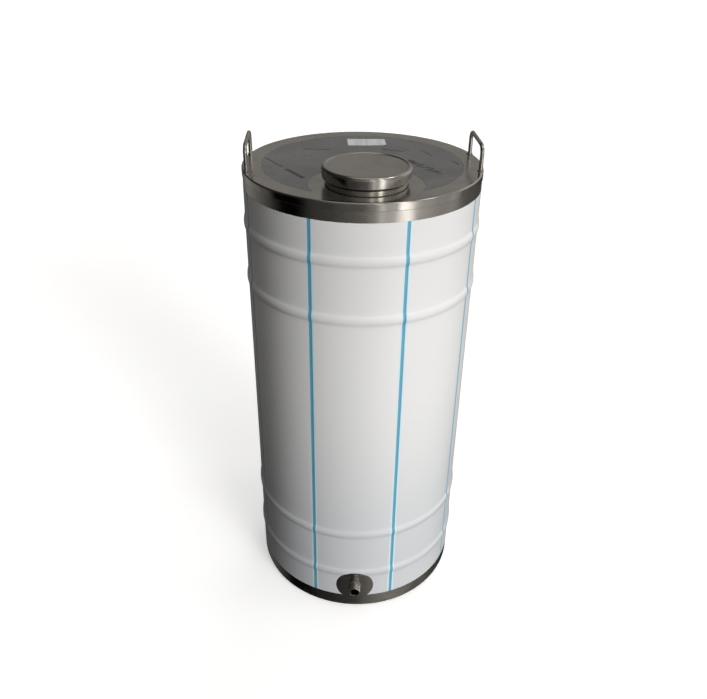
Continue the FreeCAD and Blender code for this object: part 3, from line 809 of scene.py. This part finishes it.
def ring_weld(name, node, centre, radius, height, outwards, upwards, leg, step, finish=WELD):
    """A weld round an upright axis, with legs of length `leg` and a ripple every `step`."""
    ripples = round(TAU * radius / step)
    stations = ring_stations(centre, radius, height, outwards, upwards, ripples * 5)
    add_piece(name, weld_bead(name, stations, leg, ripples, seed=radius * 50), finish,
              replaces=[node] if node else (), sharp=60)


AXIS = Vector((0, 0, 0))
ring_weld("weld_head", "head_weld", AXIS, SHELL_R, FLANGE_LOW, 1, -1, leg=0.8 * MM, step=2.6 * MM)
ring_weld("weld_base", "base_weld", AXIS, SHELL_R - SHEET, SHELL_LOW, 1, -1, leg=0.8 * MM, step=2.6 * MM)
ring_weld("weld_neck", "neck_weld", NECK, NECK_R, TOP, 1, 1, leg=1.3 * MM, step=1.6 * MM,
          finish=CREVICE_WELD)


def build_drain_weld():
    """The weld round the stub, where it meets the curved shell."""
    ripples = 40
    stations = []
    for k in range(ripples * 6):
        a = TAU * k / (ripples * 6)
        away = Vector((math.cos(a), 0, math.sin(a)))
        x = SHANK_R * away.x
        corner = Vector((x, -math.sqrt(SHELL_R ** 2 - x ** 2), DRAIN_Z + SHANK_R * away.z))
        slope = Vector((away.x, abs(x) / SHELL_R * abs(away.x), away.z)).normalized()
        stations.append((corner, slope, Vector((0, -1, 0))))
    return weld_bead("weld_drain", stations, 2.8 * MM, ripples, seed=3)


add_piece("weld_drain", build_drain_weld(), WELD, replaces=["drain_weld"], sharp=60)


def handle_feet(node):
    """The centres of the two rod ends of a handle."""
    points = node_points(node)
    feet = points[points[:, 2] < TOP + 0.5 * MM]
    split = feet[:, 1].mean()
    return [Vector((*feet[side, :2].mean(axis=0), 0)) for side in (feet[:, 1] < split, feet[:, 1] >= split)]


ROD_R = 4 * MM
for side in ("left", "right"):
    for number, foot in enumerate(handle_feet(f"handle_{side}"), start=1):
        node = f"handle_{side}_welds" if number == 1 else None
        ring_weld(f"weld_handle_{side}_{number}", node, foot, ROD_R, TOP, 1, 1, leg=2.2 * MM, step=1.8 * MM)


def build_seam():
    """The vertical seam's weld at the back, rolled nearly flat, following the beads."""
    heights = np.arange(FILM_LOW, FILM_HIGH + 0.1 * MM, 1.25 * MM)
    across = np.linspace(-1, 1, 9)
    front = np.zeros((len(heights), len(across), 3))
    back = np.zeros_like(front)
    for i, z in enumerate(heights):
        ripple = 1 - (i / 3 % 1.0)
        wander = 0.25 * MM * hills(0, 0, z, 30 * MM)
        for j, u in enumerate(across):
            angle = (u * 2.0 * MM + wander) / SHELL_R
            stand = bead_rise(z)
            height = 0.42 * MM * (1 - u * u) * (0.85 + 0.15 * ripple)
            for grid, r in ((front, SHELL_R + stand + height), (back, SHELL_R + stand - 0.3 * MM)):
                grid[i, j] = (math.sin(angle) * r, math.cos(angle) * r, z)
    return sheet_solid("weld_seam", front, back)


add_piece("weld_seam", build_seam(), WELD, replaces=["shell_seam_weld"], sharp=60)


# ---------------------------------------------------------------- floor, light and camera

def stage_object(name, points, faces, paint):
    """A thing that only the camera sees: neither mirrored by the steel nor lighting it."""
    mesh = bpy.data.meshes.new(name)
    mesh.from_pydata(points, [], faces)
    mesh.materials.append(paint)
    thing = bpy.data.objects.new(name, mesh)
    bpy.context.scene.collection.objects.link(thing)
    thing.visible_glossy = False
    thing.visible_diffuse = False
    return thing


def build_floor():
    """A floor that reaches past the backdrop."""
    side = 60
    corners = [(-side, -side, 0), (side, -side, 0), (side, side, 0), (-side, side, 0)]
    stage_object("floor", corners, [(0, 1, 2, 3)], floor_paint())


def build_backdrop():
    """A wide dome round the floor."""
    reach, around, rows = 30, 48, 12
    points = []
    for i in range(rows + 1):
        lift = math.pi / 2 * i / rows * 0.98
        for k in range(around):
            turn = TAU * k / around
            points.append((reach * math.cos(lift) * math.cos(turn), reach * math.cos(lift) * math.sin(turn),
                           reach * math.sin(lift) - 0.05))
    faces = []
    for i in range(rows):
        for k in range(around):
            after = (k + 1) % around
            faces.append((i * around + k, (i + 1) * around + k, (i + 1) * around + after, i * around + after))
    faces.append(tuple(range(rows * around, (rows + 1) * around)))
    dome = stage_object("backdrop", points, faces, backdrop_paint())
    dome.visible_shadow = False
    dome.visible_transmission = False
    for face in dome.data.polygons:
        face.use_smooth = True


def sun_light(name, azimuth, elevation, strength, spread, colour=(1, 1, 1)):
    """Even light, `spread` degrees wide, that the steel doesn't mirror. Azimuths are as in the room."""
    data = bpy.data.lights.new(name, "SUN")
    data.energy = strength
    data.angle = math.radians(spread)
    data.color = colour
    light = bpy.data.objects.new(name, data)
    bpy.context.scene.collection.objects.link(light)
    a, e = math.radians(azimuth), math.radians(elevation)
    way = Vector((math.sin(a) * math.cos(e), -math.cos(a) * math.cos(e), math.sin(e)))
    light.location = way * 5
    light.visible_glossy = False
    light.rotation_mode = "QUATERNION"
    light.rotation_quaternion = (-way).to_track_quat("-Z", "Y")


def tinted(level):
    """A warm grey of a given level."""
    return (level, level * 0.965, level * 0.91)


# (azimuth in degrees, level) round the room; azimuth 0 is the front, positive to the right
ROOM_BELOW = [
    (-180, 0.12), (-149, 0.14), (-139, 0.26), (-120, 0.19), (-108, 0.12), (-95, 0.08), (-90, 0.0),
    (-56, 0.0), (-49, 0.05), (-30, 0.055), (-12, 0.10), (3, 0.11), (12, 0.30), (26, 0.50), (60, 0.46),
    (75, 0.36), (88, 0.32), (98, 0.40), (107, 0.13), (130, 0.09), (150, 0.05), (180, 0.12),
]
ROOM_WALLS = [
    (-180, 0.24), (-171, 0.24), (-160, 0.12), (-142, 0.02), (-110, 0.02), (-55, 0.02), (-40, 0.07),
    (-26, 0.15), (-8, 0.20), (8, 0.32), (30, 0.45), (55, 0.42), (75, 0.28), (92, 0.30), (108, 0.50),
    (132, 0.55), (150, 0.40), (165, 0.30), (171, 0.24), (180, 0.24),
]
ROOM_CEILING = [
    (-180, 0.20), (-165, 0.10), (-140, 0.03), (-60, 0.03), (-20, 0.12), (20, 0.22), (60, 0.30),
    (120, 0.34), (180, 0.20),
]
ROOM_TOP = 0.50
# (azimuth, width, height, tall, strength) of each bright opening, degrees
ROOM_WINDOWS = [
    (42, 13, -21, 22, 1.4), (19, 4, -21, 22, 0.5), (40, 8, 18, 24, 3.2), (16, 7, 18, 24, 1.1),
    (20, 7, 60, 5, 1.5), (54, 9, 58, 7, 7.0), (90, 14, 52, 8, 5.0),
]


def build_world():
    """Room light by direction: what the upright steel mirrors from below, and the walls and ceiling above."""
    world = bpy.data.worlds.new("room")
    bpy.context.scene.world = world
    world.use_nodes = True
    tree = world.node_tree
    background = tree.nodes["Background"]
    sky = Nodes(tree, "Generated")
    x, y, z = sky.split()
    azimuth = sky.math("MULTIPLY", sky.math("ARCTAN2", x, sky.math("MULTIPLY", y, -1)), 360 / TAU)
    height = sky.math("MULTIPLY", sky.math("ARCSINE", z), 360 / TAU)
    around = sky.span(azimuth, -180, 180, soft=False)
    streak = sky.noise(1.0, detail=3, where=sky.vector(sky.math("DIVIDE", azimuth, 5), 0, 0))
    streak = sky.span(streak, 0.3, 0.7, 0.78, 1.22)
    below = sky.steps(around, *[((turn + 180) / 360, tinted(level)) for turn, level in ROOM_BELOW])
    walls = sky.steps(around, *[((turn + 180) / 360, tinted(level)) for turn, level in ROOM_WALLS])
    dimmer = sky.math("MULTIPLY", streak, sky.span(height, -46, -26, 0.42, 1.0))
    below = sky.mix(1.0, below, dimmer, "MULTIPLY")
    light = sky.mix(sky.span(height, -13, -3), below, walls)
    ceiling = sky.steps(around, *[((turn + 180) / 360, tinted(level)) for turn, level in ROOM_CEILING])
    light = sky.mix(sky.span(height, 30, 50), light, ceiling)
    light = sky.mix(sky.span(height, 62, 74), light, tinted(ROOM_TOP))
    for centre, width, middle_height, tall, strength in ROOM_WINDOWS:
        off = sky.math("ABSOLUTE", sky.math("SUBTRACT", azimuth, centre))
        far = sky.math("ABSOLUTE", sky.math("SUBTRACT", height, middle_height))
        across = sky.span(off, width / 2 + 2, width / 2 - 1)
        glow = sky.math("MULTIPLY", across, sky.span(far, tall / 2 + 4, tall / 2))
        lamp = sky.mix(glow, (0, 0, 0), (strength, strength * 0.98, strength * 0.94))
        light = sky.mix(1.0, light, lamp, "ADD")
    sky.plug(light, background.inputs["Color"])
    background.inputs["Strength"].default_value = 1.0


CAMERA_PLACE = (0.0, -1.4635, 1.4508)
CAMERA_DOWN = 30.728
CAMERA_YAW = -0.496
CAMERA_ROLL = 0.813
CAMERA_LENS = 37.73


def build_camera():
    """A phone held at chest height, looking down at the tank."""
    data = bpy.data.cameras.new("camera")
    data.sensor_width = 36
    data.lens = CAMERA_LENS
    data.clip_start, data.clip_end = 0.05, 200
    camera = bpy.data.objects.new("camera", data)
    bpy.context.scene.collection.objects.link(camera)
    down, yaw, roll = (math.radians(v) for v in (CAMERA_DOWN, CAMERA_YAW, CAMERA_ROLL))
    ahead = Vector((math.sin(yaw) * math.cos(down), math.cos(yaw) * math.cos(down), -math.sin(down)))
    right = Vector((math.cos(yaw), -math.sin(yaw), 0))
    up = right.cross(ahead)
    across = right * math.cos(roll) + up * math.sin(roll)
    upright = up * math.cos(roll) - right * math.sin(roll)
    turn = Matrix((across, upright, -ahead)).transposed()
    camera.matrix_world = Matrix.Translation(CAMERA_PLACE) @ turn.to_4x4()
    bpy.context.scene.camera = camera


build_floor()
build_backdrop()
build_world()
sun_light("key", azimuth=36, elevation=18, strength=1.97, spread=24, colour=(1.0, 0.995, 0.985))
sun_light("overhead", azimuth=10, elevation=84, strength=0.35, spread=50)
sun_light("from_behind", azimuth=160, elevation=40, strength=0.5, spread=30)
build_camera()
bpy.context.scene.view_settings.view_transform = "Standard"
